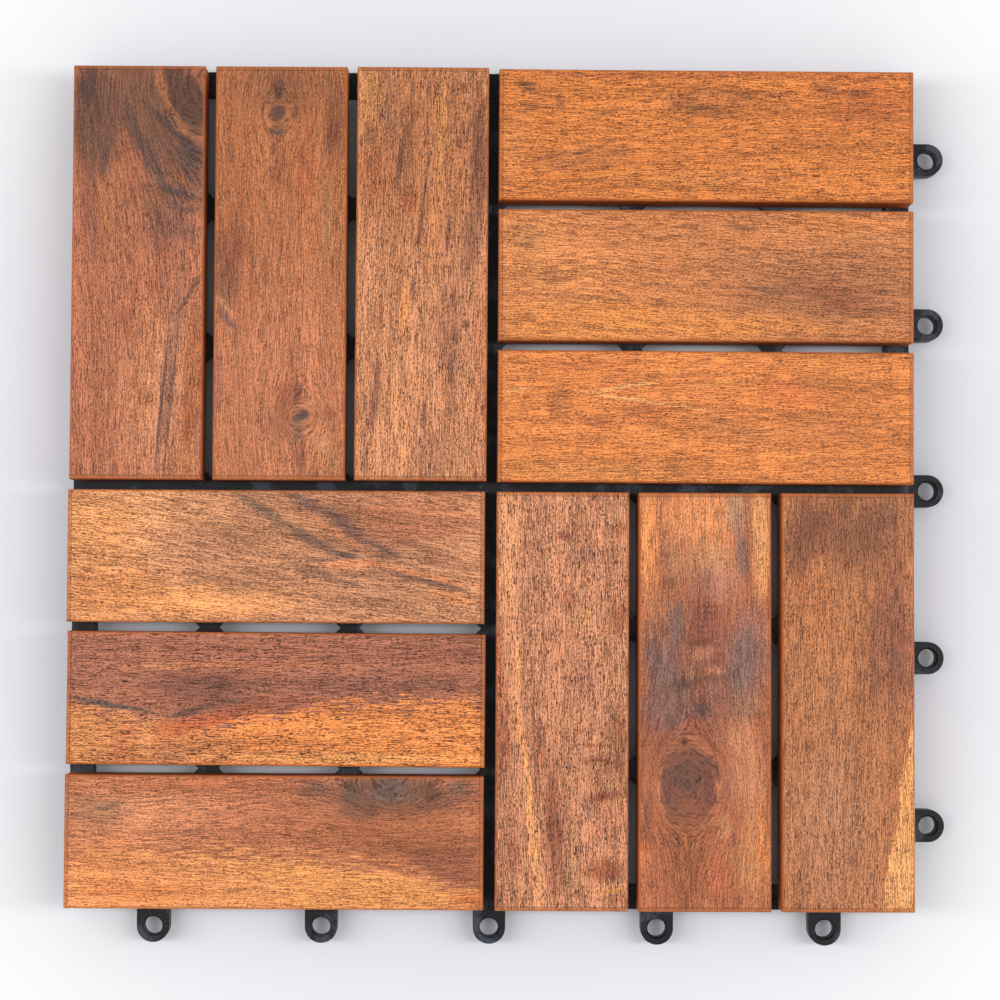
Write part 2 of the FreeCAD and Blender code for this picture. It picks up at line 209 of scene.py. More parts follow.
# Each slat: which way its grain runs, its own colours, its streaks and knots.
# A mark is (colour, amount, along, across, half length, half width, tilt, softness), in
# millimetres from the slat's middle and degrees. Along is to the right or to the back.
slats = {
    "slat_back_left_3": {
        "lengthwise": "back", "seed": 1, "base": "b97452", "contrast": 1.0, "pores": 0.8, "wander": 5.0,
        "lean": 0.0, "ripples": 0.1,
        "bends": [(68, 27, 21, 1.2)],
        "marks": [
            ("d8946a", 0.8, -45, 9, 34, 15, 0, 0.8),
            ("9a6250", 0.6, -4.8, -5.2, 6, 2, 0, 0.8), ("96543c", 0.8, -15.7, -3.6, 4, 3.5, 0, 0.8),
            ("a5603d", 0.6, -22, -3.6, 3, 3, 0, 0.8), ("b0633c", 0.6, -5.4, 5.5, 3, 2, 0, 0.8),
            ("c07c50", 0.6, -42, 1, 14, 4, 0, 0.8), ("9c6a54", 0.7, -30, 12.5, 40, 2.6, 7, 0.5),
            ("b56c3e", 0.8, -39, 19.5, 28, 3.8, 4, 0.6), ("ad5f36", 0.7, -55, 18.7, 7, 3, 0, 0.7),
            ("c9824c", 0.7, -67, 18.2, 5, 4, 0, 0.7), ("6f5048", 0.85, -45, 9.2, 27, 0.6, 5, 0.5),
            ("7a584c", 0.8, -45, 12.4, 27, 0.6, 5, 0.5), ("84594a", 0.8, -8, 18.5, 9, 1, 32, 0.6),
            ("955d46", 0.7, 25, -18.6, 18, 4, 0, 0.7), ("7f5648", 0.7, 13, -15.6, 11, 0.8, 0, 0.6),
            ("b97a42", 0.8, 20.7, -11.2, 9, 3.5, 0, 0.6), ("b57443", 0.85, 30.5, -9.6, 8, 4.5, 0, 0.6),
            ("b26f43", 0.9, 41.4, -6.9, 9, 3, -18, 0.5), ("b9774a", 0.8, 22.4, 2.4, 6, 3.2, -80, 0.6),
            ("8c5c47", 0.7, 24.5, -4.5, 4, 0.8, 45, 0.6), ("8c5c47", 0.7, 17, -7.6, 6, 0.8, 8, 0.6),
            ("9c6248", 0.6, 22, -10, 22, 9, 0, 0.9), ("7d5645", 0.6, 20, 8, 14, 10, 0, 0.9),
            ("674a3e", 0.85, 38, 17, 17, 9, -30, 0.8),
            ("6e4c3b", 0.95, 56, -15, 24, 10, 0, 0.5), ("573f3a", 0.8, 66, -18, 8, 3, 0, 0.7),
            ("7a5540", 0.9, 62, 2, 22, 11, -15, 0.5), ("6a4f44", 0.9, 54, -2.6, 9, 2.6, -20, 0.6),
            ("6a4f44", 0.9, 43, 2.5, 9, 3.2, -30, 0.6), ("6b5046", 0.9, 33, 8.5, 9, 3.4, -40, 0.6),
            ("664840", 0.85, 42.5, -11.5, 7, 1.2, 5, 0.6), ("8f6246", 0.8, 54, 0.8, 7, 1.3, -28, 0.6),
            ("5d3e31", 0.95, 62, 16.5, 14, 8, -20, 0.35), ("58483f", 0.9, 41.4, 18.5, 6, 4, -45, 0.6),
            ("493f3e", 0.9, 50.5, 12.5, 13, 1.7, -47, 0.7), ("b5764c", 0.9, 67, 7.8, 6, 2, -16, 0.6),
            ("b0703f", 0.9, 57, 12.2, 8, 1.5, -30, 0.6), ("a86c42", 0.8, 50, 17, 5, 1.3, -40, 0.6),
            ("b06f45", 0.85, 34, 14.6, 5, 1.8, -50, 0.6), ("a8704c", 0.8, 32.4, 10.6, 3, 1.3, -40, 0.6),
            ("8a5d4b", 0.8, 15.3, 15.5, 8, 4, -70, 0.7), ("75544a", 0.85, 23.5, 16.5, 6.5, 2.5, -80, 0.6),
            ("50403c", 0.85, 28, 15, 9, 1.2, -74, 0.6), ("b0703f", 0.7, 23.5, 19, 4, 0.8, -80, 0.6),
            ("5a4036", 0.36, 46, 13, 30, 13, 0, 0.8),
        ],
    },
    "slat_back_left_2": {
        "lengthwise": "back", "seed": 2, "base": "b97548", "contrast": 0.9, "pores": 0.7, "wander": 4.0,
        "lean": 0.0, "ripples": 0.1,
        "bends": [(57, -1, 5.5, 1.2), (-51, 8, 5.5, 1.1)],
        "marks": [
            ("a4643f", 0.65, 28, -16, 46, 7, 0, 0.8), ("885438", 0.6, 0, -17, 14, 7, 0, 0.9),
            ("8c5c40", 0.75, 67, -2, 9, 10, 0, 0.9), ("8a6050", 0.7, -52, 4, 7, 6, 0, 0.9),
            ("c47e58", 0.9, -40, 0, 45, 30, 0, 0.6), ("c17a52", 0.7, 5, 2, 18, 10, 0, 0.8),
            ("a05e40", 0.7, 38, -1, 10, 3, 0, 0.8), ("8c5440", 0.7, 43.9, -2.6, 3, 1.2, 0, 0.7),
            ("b5653f", 0.7, 36, 8.5, 14, 4.5, 0, 0.7), ("945a38", 0.8, 55, 19, 18, 4, 0, 0.7),
            ("8a5236", 0.8, 50, 18.5, 8, 3, 0, 0.7), ("8a6a50", 0.6, 67.5, 17.2, 5, 1.5, 0, 0.7),
            ("94583c", 0.85, 6, -18, 12, 6, 0, 0.8), ("85583c", 0.8, -4, -19.4, 8, 5, 0, 0.7),
            ("c48a66", 0.7, -11.5, -20, 6, 1, -42, 0.6), ("7d5a50", 0.85, -16.7, -18.8, 5, 1.4, -42, 0.6),
            ("a8603a", 0.6, -7, -10, 10, 1.5, 0, 0.7), ("b58560", 0.5, 18, 16.7, 14, 2, 0, 0.8),
            ("a06a58", 0.6, -37, -21.5, 14, 1.5, 0, 0.7), ("8a5a44", 0.7, 58, -6.5, 3.5, 0.9, 0, 0.6),
            ("7c4a34", 0.8, 57.5, 5, 3, 1.1, 0, 0.6), ("a5603f", 0.7, -43.4, 2.4, 8, 5, 15, 0.8),
            # The dark brown mark at -42.8 along, 6.8 across is a painted shadow at the upper left of the
            # knot
            ("7b4e3b", 0.85, -42.8, 6.8, 5, 1.5, 22, 0.7), ("9c5c33", 0.8, -49.9, 17.7, 2.6, 2.2, 0, 0.8),
            ("80604f", 0.8, -57.5, 6.8, 4, 2.4, 0, 0.7), ("8c523c", 0.75, -65.7, 7.9, 4, 2.5, 0, 0.8),
            ("a87850", 0.6, -66.8, 18.8, 4, 3, 0, 0.8), ("d0966a", 0.7, -61.3, 15.5, 5, 3, 0, 0.8),
            ("c99068", 0.6, -47.2, 9, 5, 0.8, 70, 0.6), ("46332c", 0.95, 64.8, -1, 3.4, 1.7, 0, 0.6),
            ("52403a", 0.9, 56.8, -1.3, 2.8, 2.8, 0, 0.5), ("6a504c", 0.85, 50.9, -1.5, 2.6, 3.2, 0, 0.7),
            ("5b4a46", 0.95, -51, 7.9, 3.8, 2, 63, 0.5),
            ("6e4634", 0.3, 66, 0, 10, 24, 0, 0.8), ("6e4634", 0.28, -54, 0, 8, 9, 0, 0.8),
        ],
    },
    "slat_back_left_1": {
        "lengthwise": "back", "seed": 3, "base": "cf8f64", "contrast": 1.25, "pores": 1.0, "wander": 4.0,
        "lean": -0.03, "ripples": 0.1,
        "bends": [],
        "marks": [
            ("b3744a", 0.85, 45, 0, 42, 30, 0, 0.6), ("c48a52", 0.8, 64, -18, 9, 4.5, 0, 0.7),
            ("9a6a4a", 0.75, 56, -11.4, 14, 3, 0, 0.7), ("b0683f", 0.65, 34, -17, 12, 6, 0, 0.8),
            ("7e5040", 0.8, 38, -8.5, 9, 1.4, 9, 0.6), ("8a583f", 0.85, 40, 20, 24, 3.2, 0, 0.6),
            ("92604a", 0.8, 12, 17.5, 16, 4, 8, 0.7), ("cf8f54", 0.8, 52, 6.5, 20, 2.5, 0, 0.7),
            ("d28c58", 0.8, 18, 4.4, 20, 2.6, 6, 0.7), ("74463a", 0.8, 31, 0.9, 7, 0.5, 6, 0.5),
            ("7a4c3c", 0.85, 17, -0.6, 8, 0.8, 7, 0.5), ("70483a", 0.75, 14, 9.2, 8, 0.9, 3, 0.5),
            ("8c5638", 0.7, 56, -3.5, 4, 1, 0, 0.7), ("b8663f", 0.7, 26, -4.5, 5, 2.4, 0, 0.7),
            ("dc9258", 0.8, -10.5, -5.9, 13, 2.2, 0, 0.6), ("a4633f", 0.8, -15.7, -14.6, 6, 1, 0, 0.6),
            ("b07655", 0.75, -19, 10, 20, 6, 0, 0.8), ("8a5c48", 0.75, -6.5, -3, 6, 1, 0, 0.6),
            ("966450", 0.7, -9, 11.7, 4, 2.5, 0, 0.7), ("8a5c4c", 0.8, -22, 12, 3, 1.5, 0, 0.7),
            ("7c5448", 0.75, -33, 10.2, 5, 1.3, 0, 0.6), ("8a5a48", 0.85, -37, -15.3, 8, 1.3, 0, 0.6),
            ("94604c", 0.8, -48.6, -17.2, 9, 1.8, 3, 0.6), ("e0a06c", 0.8, -44, -9.3, 16, 1.8, 0, 0.6),
            ("8f5f4b", 0.8, -50.6, 1, 6, 1.3, 0, 0.6), ("d8946a", 0.6, -45, 7, 6, 3, 0, 0.7),
            ("dc9662", 0.7, -62, -5.5, 9, 2, 0, 0.7), ("8a5a48", 0.7, -64, -19.8, 8, 0.8, 0, 0.5),
            ("cc7f55", 0.6, -32, 20.6, 36, 2.2, 0, 0.7), ("b47c60", 0.6, -63.5, 4, 9, 5, 0, 0.8),
        ],
    },
    "slat_back_right_3": {
        "lengthwise": "right", "seed": 4, "base": "da8541", "contrast": 1.05, "pores": 0.9, "wander": 6.0,
        "lean": 0.0, "ripples": 0.2,
        "bends": [],
        "marks": [
            ("c07640", 0.75, 2.5, 12, 22, 5, 0, 0.8), ("c06a38", 0.65, 58, 12, 18, 10, 0, 0.8),
            ("b5683a", 0.6, 0, 21.5, 74, 1.5, 0, 0.8), ("b56f3e", 0.65, -45, -8, 19, 4.5, 6, 0.8),
            ("e0904e", 0.7, 0, -16, 30, 3, 0, 0.8), ("dd9050", 0.6, -68, -5, 4, 14, 0, 0.8),
            ("8a5a38", 0.75, -63, 16.5, 4.5, 1.6, -30, 0.7), ("8a5a38", 0.7, -52, 11.5, 1.6, 3, 0, 0.7),
            ("8a5a38", 0.7, -62, 10, 3, 1.2, 0, 0.7), ("8a5a38", 0.65, -35.5, 8, 5, 1.2, 15, 0.7),
            ("8f5e38", 0.65, -4, 9.5, 9, 2.4, -5, 0.8), ("8a5a38", 0.7, 14.5, 13.6, 3, 1.6, 0, 0.7),
            ("8a5638", 0.7, 42.5, 17, 6, 2, -20, 0.8), ("8a5638", 0.65, 55, 15.2, 4, 1.2, 0, 0.7),
            ("9a5c38", 0.75, -57, -8.5, 7, 0.6, 14, 0.5), ("9a5c38", 0.75, -42, -5.5, 8, 0.7, 16, 0.5),
            ("9a5c38", 0.7, -30, -6, 6, 0.6, 14, 0.5), ("9a5c38", 0.7, -56, -13, 8, 0.5, 8, 0.5),
            ("9a5c38", 0.7, -38, -12, 9, 0.5, 8, 0.5), ("b06a3c", 0.65, 16, -6.5, 12, 1, 2, 0.7),
        ],
    },
    "slat_back_right_2": {
        "lengthwise": "right", "seed": 5, "base": "d0854f", "contrast": 1.3, "pores": 0.7, "wander": 9.0,
        "lean": 0.06, "ripples": 0.15,
        "bends": [],
        "marks": [
            ("e09456", 0.75, -58, 4, 26, 20, 0, 0.8), ("a86c46", 0.7, 24, -9, 20, 13, 0, 0.9),
            ("b0744a", 0.85, 50, -4, 34, 17, 0, 0.7), ("b87a4c", 0.7, 12, 4, 22, 7, -6, 0.8),
            ("a2653f", 0.8, 44, -6, 24, 6, -8, 0.7), ("9c6040", 0.7, 50, -9, 14, 3.5, -14, 0.7),
            ("e0904a", 0.9, -40, -17, 36, 8, 2, 0.6), ("dd8e48", 0.8, 10, -18, 36, 4.5, 0, 0.7),
            ("dc8a4a", 0.85, 52, 18.5, 24, 3, -3, 0.6), ("c47c4c", 0.6, -36, 19, 20, 3, -10, 0.8),
            ("e09858", 0.6, -66, 16, 8, 3.5, 0, 0.8), ("c98450", 0.7, 58, 14, 10, 3, 0, 0.8),
            ("a07448", 0.45, -64, 13, 6, 4, -20, 0.8), ("a56a40", 0.8, -54, -2, 6, 1.4, 0, 0.7),
            ("9c6640", 0.7, -6, 17.5, 5, 1.6, 0, 0.7), ("9a623c", 0.7, 12, 17, 6, 1.6, -6, 0.7),
            ("8c6048", 0.6, 26, -5, 10, 1.6, -4, 0.7),
        ],
    },
    "slat_back_right_1": {
        "lengthwise": "right", "seed": 6, "base": "e38c4a", "contrast": 1.0, "pores": 0.8, "wander": 5.0,
        "lean": 0.0, "ripples": 0.2,
        "bends": [],
        "marks": [
            ("cf8040", 0.65, 50, 0, 28, 26, 0, 0.8),
            ("dd7840", 0.5, 28, 8, 14, 6, 0, 0.8), ("c27a44", 0.75, 10, -5, 20, 5, -6, 0.8),
            ("c87c46", 0.6, 44, -4, 18, 4, -4, 0.8), ("d07c40", 0.6, -42, 18, 18, 3, 0, 0.8),
            ("b5703c", 0.7, 38, 13.5, 6, 2.4, 0, 0.7), ("b06c3c", 0.65, -52, 5, 4, 7, 0, 0.8),
            ("b8683c", 0.75, -37, -2, 5, 2.5, 0, 0.8), ("cc7640", 0.7, -19, 1, 10, 4, 0, 0.8),
            ("e09450", 0.6, -40, -19, 44, 5, 0, 0.7), ("ecaa68", 0.85, -67.5, 9.2, 5, 0.8, 12, 0.6),
            ("f0b070", 0.85, -29, 10.4, 14, 0.8, 9, 0.6), ("ecaa68", 0.8, -19, 4.9, 24, 0.8, -8, 0.6),
            ("e89a58", 0.6, 5, 12, 14, 1, 4, 0.7),
        ],
    },
    "slat_front_left_1": {
        "lengthwise": "right", "seed": 7, "base": "cb9067", "contrast": 1.25, "pores": 0.9, "wander": 6.0,
        "lean": 0.12, "ripples": 0.1,
        "bends": [],
        "marks": [
            ("f4ae76", 0.9, -54, 8, 32, 20, 0, 0.8), ("986850", 0.8, 30, 9, 22, 11, -30, 0.9),
            ("e8a064", 1, -64, 6, 16, 18, 0, 0.6), ("faac6a", 0.9, -40, -17, 46, 7, 0, 0.6),
            ("e1955a", 0.9, -58, -12, 22, 9, 0, 0.7), ("bd8462", 0.7, -28, 4, 20, 7, -5, 0.8),
            ("c07a55", 0.8, 50, 14, 26, 10, 0, 0.6), ("b8845f", 0.7, 40, -14.4, 14, 4, 0, 0.7),
            ("e0925a", 0.8, 62.6, -14.4, 10, 2, -10, 0.6), ("cf8556", 0.8, 20, 9.5, 16, 1.1, -32, 0.6),
            ("dc8f5c", 0.85, 26, -2.5, 12, 1.8, 0, 0.6), ("d98a55", 0.8, 52, -6.3, 18, 1.2, -13, 0.6),
            ("8d6655", 0.9, 12, 18.5, 10, 2.4, -24, 0.6), ("7f5c4e", 0.9, 25, 10.8, 8, 2.6, -39, 0.6),
            ("75604f", 0.8, -4.7, 16.3, 12, 2.2, -35, 0.8), ("6c564a", 0.85, 13, 5.5, 12, 1.9, -26, 0.8),
            ("5f4e48", 0.9, 25, 0.5, 4.5, 1.1, -15, 0.6), ("84604f", 0.9, 38, 2.8, 9, 1.2, -26, 0.6),
            ("a06c50", 0.7, 53, 3, 20, 1.6, -20, 0.6), ("96644c", 0.7, 60, -2.5, 14, 1.2, -14, 0.6),
            ("96705a", 0.8, 18, -7, 14, 1.1, -16, 0.6), ("9a745e", 0.7, 14, -1.8, 9, 0.9, 8, 0.6),
            ("75554a", 0.85, 53, -8.6, 19, 1.1, -14, 0.6),
        ],
    },
    "slat_front_left_2": {
        "lengthwise": "right", "seed": 8, "base": "ac6e54", "contrast": 1.3, "pores": 1.1, "wander": 4.0,
        "lean": 0.0, "ripples": 0.1,
        "bends": [],
        "marks": [
            ("c08055", 0.8, -42, 11, 14, 1.5, 2, 0.7), ("c47c52", 0.8, -20.6, 12.2, 14, 1.2, 0, 0.7),
            ("bd7650", 0.7, 10, 12, 20, 1.2, 0, 0.7), ("855443", 0.9, -25, 3.8, 22, 6, 0, 0.6),
            ("9a6450", 0.85, 31, 5.4, 38, 4.5, 0, 0.6), ("a26b4e", 0.6, -58, 5, 16, 4, 0, 0.7),
            ("ea924e", 1, 45, -40, 110, 39.5, 0, 0.06), ("dc9258", 1, -75, -30, 40, 29, 0, 0.08),
            ("d98a52", 1, -35, -23, 25, 16, 0, 0.15), ("c6673c", 0.85, -24.5, -7.5, 18, 3, 12, 0.7),
            ("96583f", 0.65, -6, -2, 22, 3.5, 4, 0.8), ("c8784a", 0.8, -54.5, -16.5, 8, 3.2, 80, 0.7),
            ("e6a062", 0.8, -46, -15, 8, 2.5, 80, 0.7), ("c8855c", 0.7, -37, -19.5, 7, 3, 0, 0.7),
            ("e8a562", 0.7, 20, -20.5, 50, 2, 0, 0.7), ("f09650", 0.8, 66, -9, 10, 10, 0, 0.8),
            ("6b574c", 0.95, -58, -2.3, 16, 1.1, -10, 0.5), ("6f4d42", 0.9, -30, -4.4, 9, 1.4, 17, 0.5),
            ("7a5344", 0.85, -14, -0.3, 9, 1.2, 6, 0.6),
        ],
    },
    "slat_front_left_3": {
        "lengthwise": "right", "seed": 9, "base": "bd7650", "contrast": 0.95, "pores": 0.8, "wander": 5.0,
        "lean": 0.0, "ripples": 0.1,
        "bends": [(41, 24, 9, 1.4)],
        "marks": [
            ("e2966a", 0.8, -48, 12, 34, 14, 0, 0.9),
            ("cc7a4e", 0.7, -30, 20, 36, 3, 0, 0.7), ("a8663f", 0.85, 44, 3, 32, 11, -3, 0.7),
            ("e89c60", 1, -25, -45, 125, 42, 0, 0.08), ("f4a062", 0.8, -54, -11, 24, 12, 0, 0.8),
            ("eaa05a", 0.9, 25, -13.5, 40, 4, -7, 0.7),
            ("e28c50", 0.85, -45, -17, 26, 4, 0, 0.7), ("e79c58", 0.8, 25, -19.5, 50, 4, 0, 0.7),
            ("de7f45", 0.7, 70, -19.5, 8, 3, 0, 0.7), ("a87a58", 0.8, -61.6, 11.2, 12, 5, 0, 0.8),
            ("8c6a4c", 0.7, -57, 12.8, 6, 1.2, 12, 0.7), ("955a40", 0.9, 61, -8, 16, 5.5, -13, 0.6),
            ("76584a", 0.8, 42, 18, 24, 6.5, 0, 0.8),
            ("8f5f44", 0.8, 30, 11, 8, 4, 0, 0.7), ("8a6450", 0.7, 14.9, 19.1, 5, 2.5, 0, 0.7),
            ("6b5548", 0.9, 27.6, 17.5, 4, 4, 0, 0.7), ("75605a", 0.9, 41, 18.3, 8, 4.5, 0, 0.6),
            ("6a4428", 0.85, 55.5, 17.5, 4.5, 3.5, 0, 0.7), ("7f6650", 0.7, 65, 20, 4, 2.5, 0, 0.7),
            ("5f4638", 0.35, 40, 18, 34, 8, 0, 0.8),
        ],
    },
    "slat_front_right_1": {
        "lengthwise": "back", "seed": 10, "base": "cf8f69", "contrast": 1.4, "pores": 1.1, "wander": 4.0,
        "lean": 0.03, "ripples": 0.4,
        "bends": [],
        "marks": [
            ("c08460", 0.6, -34, -4, 30, 20, 0, 0.9), ("b07a58", 0.6, -20, 18, 20, 6, 0, 0.9),
            ("e0a06c", 0.75, 55, -19.5, 26, 3.5, 0, 0.7), ("b06c4a", 0.7, 58.4, 0.3, 1.6, 3.4, 0, 0.8),
            ("b06a4a", 0.8, 35, 2, 5, 3, 0, 0.8), ("b06e40", 0.8, 60, 20, 3, 2.6, 0, 0.8),
            ("a0603c", 0.85, 30, 20, 6.5, 3.4, 0, 0.7), ("e4a66c", 0.7, 67.5, 7.5, 2.5, 2.5, 0, 0.8),
            ("e2a668", 0.8, 29.6, 8, 3, 2.2, 0, 0.8), ("a87660", 0.7, 51.5, 7.5, 3, 4.5, 0, 0.8),
            ("a8705a", 0.75, 8, 8.5, 9, 4, 0, 0.8), ("e4a466", 0.8, 10, -15.5, 9, 1.6, 0, 0.7),
            ("b86c48", 0.7, 12, -22, 14, 1.8, 0, 0.7), ("b87a58", 0.6, 22, -3, 3, 5, 0, 0.8),
            ("9a6448", 0.6, 54, -13.5, 2.5, 1.6, 0, 0.7), ("b06646", 0.85, -12, -20.5, 13, 3.2, 0, 0.7),
            ("b06e50", 0.7, -52, -17, 8, 4, 0, 0.8), ("a8684a", 0.7, -18, -8, 14, 3, -8, 0.8),
            ("e09a62", 0.9, -12, -14.5, 14, 1.8, -13, 0.6), ("e6a268", 0.95, -47, -10.2, 29, 1.9, -5, 0.5),
            ("96583c", 0.85, -42, -3.2, 20, 3.4, -1, 0.6), ("84503a", 0.8, -45, -3.4, 6, 2.4, 0, 0.8),
            ("a5684c", 0.7, -60, -2.8, 12, 3, 0, 0.8), ("c9946c", 0.7, -58, 3.4, 16, 2.4, 0, 0.7),
            ("9a5a3c", 0.75, -16, 20.6, 18, 1.8, 0, 0.7), ("cc8662", 0.7, -42, 16, 6, 6, 0, 0.8),
            ("a87864", 0.6, -38, 9, 5, 2.4, 0, 0.8), ("a0603e", 0.7, -10.5, 8, 0.8, 4, 0, 0.7),
            ("a0603e", 0.7, -15.6, 11, 0.9, 5, 0, 0.7), ("9a5a3a", 0.8, -21, 14, 1.3, 8, 0, 0.7),
            ("96543a", 0.85, -33.5, 14.5, 1.8, 7.5, -8, 0.7), ("c8845c", 0.6, -26, 15, 2.5, 6, 0, 0.8),
            ("9c5838", 0.85, -59.5, 15, 3.6, 7.5, 0, 0.6), ("e0984e", 0.8, -66.4, 18, 1.2, 5, 0, 0.6),
            ("c47c44", 0.8, -69.6, 18.5, 0.9, 5, 0, 0.6),
        ],
    },
    "slat_front_right_2": {
        "lengthwise": "back", "seed": 11, "base": "b8704a", "contrast": 0.95, "pores": 0.6, "wander": 5.0,
        "lean": 0.0, "ripples": 0.1,
        "bends": [(-29, -5.8, 11, 1.5)],
        "marks": [
            ("a45f40", 0.75, -45, -10, 34, 15, 0, 0.9), ("985c42", 0.7, -12, -17, 20, 8, 0, 0.9),
            ("8c5c4a", 0.7, 14, 5, 30, 9, 0, 0.9), ("cf8c5c", 0.7, -52, 18, 22, 6, 0, 0.8),
            ("e0935e", 1, 66, -3, 14, 14, 0, 0.6), ("e8985a", 1, 57, -19.7, 22, 4, 0, 0.6),
            ("eaa568", 1, 58, 19.8, 22, 3.4, 0, 0.5), ("d07a4e", 0.6, 70.5, -10, 5, 1.5, 0, 0.7),
            ("c88f62", 0.9, 48, 2, 10, 9, 0, 0.7), ("b5805a", 0.8, 50, -11, 10, 4, 0, 0.8),
            ("b08868", 0.85, 67.8, 10.9, 9, 4, -3, 0.6), ("856458", 0.9, 51.7, 13, 10, 2.4, -6, 0.6),
            ("b0755f", 0.9, 41, 3.4, 7, 10, 0, 0.8), ("c98158", 0.8, 30, -17, 12, 4, 0, 0.8),
            ("b07560", 0.8, 27, 16, 10, 5, 0, 0.8), ("8a6a60", 0.9, 27.6, -10.6, 9, 3, 0, 0.6),
            ("86655c", 0.9, 11, -15.5, 10, 5, -20, 0.7), ("85665a", 0.9, 17.9, 14.1, 8, 4, 0, 0.7),
            ("7f6055", 0.85, 10, 12, 7, 4, 10, 0.7), ("a86248", 0.85, 28, 0, 7, 6.5, 0, 0.7),
            ("8a6a60", 0.8, 13, -14, 15, 8, -14, 0.9), ("8a6c64", 0.8, 12, 15, 17, 8, 6, 0.9),
            ("846660", 0.7, -3, -9, 8, 11, 0, 0.9), ("a05c44", 0.8, 26, -1, 10, 6, 0, 0.8),
            ("7d4a3a", 0.8, 33.4, 1.2, 5, 0.45, 88, 0.5), ("7d4a3a", 0.8, 31.3, 0, 5, 0.45, 88, 0.5),
            ("7d4a3a", 0.8, 29, -1, 5, 0.45, 88, 0.5), ("7d4a3a", 0.8, 26.7, -0.5, 5, 0.45, 88, 0.5),
            ("7d4a3a", 0.8, 24.4, 0, 5, 0.45, 88, 0.5), ("8a4c30", 0.9, 21.1, -2, 5.5, 1.7, 88, 0.6),
            ("cf8a64", 0.85, 16.8, -1.5, 6, 2.6, 88, 0.6), ("8f5640", 0.85, 15.2, 3.9, 2.5, 3, 0, 0.6),
            ("b5705a", 0.7, 14.1, -6.8, 3, 2.5, 0, 0.7), ("c58a68", 0.7, 9.3, -5.2, 2.5, 2, 0, 0.7),
            ("d08a62", 0.8, 10.9, 2.8, 4, 1.8, 88, 0.6), ("85584a", 0.8, 8.2, 3.9, 6, 1.6, 88, 0.6),
            ("5f4a48", 0.8, 6, -8, 5, 2.5, 80, 0.6), ("b07868", 0.7, 3.9, 2.3, 2.5, 3, 0, 0.7),
            ("92675f", 0.9, -2.3, -16, 6, 7, 0, 0.7), ("6d524a", 0.85, -7.1, -12.2, 3, 2, 0, 0.7),
            ("5f4a44", 0.85, -2.8, -0.9, 3, 2.5, 0, 0.7), ("b5674a", 0.8, -8.2, -4.2, 6, 1.8, 88, 0.7),
            ("9a7055", 0.8, -2, 14, 5, 6, 0, 0.8), ("c88a60", 0.8, -11.9, 11.9, 6, 5, 0, 0.8),
            ("b8663f", 0.9, -29, -5.8, 20, 13.5, 0, 0.25), ("d08a5c", 0.8, -29, -5.8, 17.5, 12.2, 0, 0.15),
            ("85523f", 1, -29, -5.8, 16, 11.2, 0, 0.2), ("6f4c3f", 0.85, -29.6, -7.5, 9, 6, 0, 0.8),
            ("7a4530", 0.6, -27, 1.2, 6, 1.5, 0, 0.7), ("a0603c", 0.8, -44, -6, 12, 8, 0, 0.7),
            ("85584a", 0.7, -39, -20, 9, 1.5, 5, 0.7), ("cc8c64", 0.8, -24.8, 14.6, 14, 7, 0, 0.7),
            ("a87060", 0.6, -28, 8.7, 8, 1.8, 0, 0.7), ("8a5238", 0.8, -48.4, 10.3, 3.5, 0.7, 0, 0.6),
            ("d09268", 0.7, -43.6, 6.6, 5, 3, 0, 0.8), ("e08c4e", 0.8, -49, 20.5, 18, 2.2, 0, 0.6),
            ("cc8a58", 0.8, -57, 13, 8, 5, 0, 0.8), ("a0603c", 0.8, -60, -5, 10, 8, 0, 0.8),
            ("b86845", 0.7, -59.7, 4.4, 6, 6, 0, 0.8), ("cc7c4c", 0.7, -54.4, -21.4, 6, 3, 0, 0.7),
            ("3f241a", 0.9, -13.8, -7.1, 1, 1.3, 0, 0.5), ("3f241a", 0.9, -27.5, -2.2, 1, 0.9, 0, 0.5),
            ("64463a", 0.38, 0, -7, 46, 13, 0, 0.8),
        ],
    },
    "slat_front_right_3": {
        "lengthwise": "back", "seed": 12, "base": "b8784c", "contrast": 1.05, "pores": 0.9, "wander": 4.0,
        "lean": -0.02, "ripples": 0.1,
        "bends": [],
        "marks": [
            ("85543c", 0.75, 61, 0, 15, 16, 0, 0.9),
            ("c8804e", 0.6, 36, -13, 30, 9, 0, 0.8), ("b8825f", 0.75, -44, -6, 34, 16, 0, 0.8),
            ("86533a", 0.85, 62, -13, 9, 8, 0, 0.7), ("8c583e", 0.75, 54, -17, 10, 5, 0, 0.8),
            ("9c6a4a", 0.65, 66, 13, 9, 6, 0, 0.8), ("925c44", 0.85, 24, 16, 28, 7, 0, 0.6),
            ("bd8052", 0.75, 66, 2.5, 7, 1.6, 17, 0.7), ("8a5640", 0.65, 26, 10, 10, 2.5, 0, 0.7),
            ("8c5842", 0.7, 10, 9, 14, 2.4, -4, 0.7), ("a87050", 0.6, -66, 8, 9, 2.4, 0, 0.8),
            ("f0ac6a", 1, -52, 25.4, 88, 10.5, 9, 0.1), ("f8ba78", 0.8, -62, 20, 14, 3.5, 6, 0.6),
            ("6e4632", 0.3, 62, 4, 16, 22, 0, 0.9), ("c88a58", 0.5, 8, -10, 14, 10, 0, 0.9),
        ],
    },
}


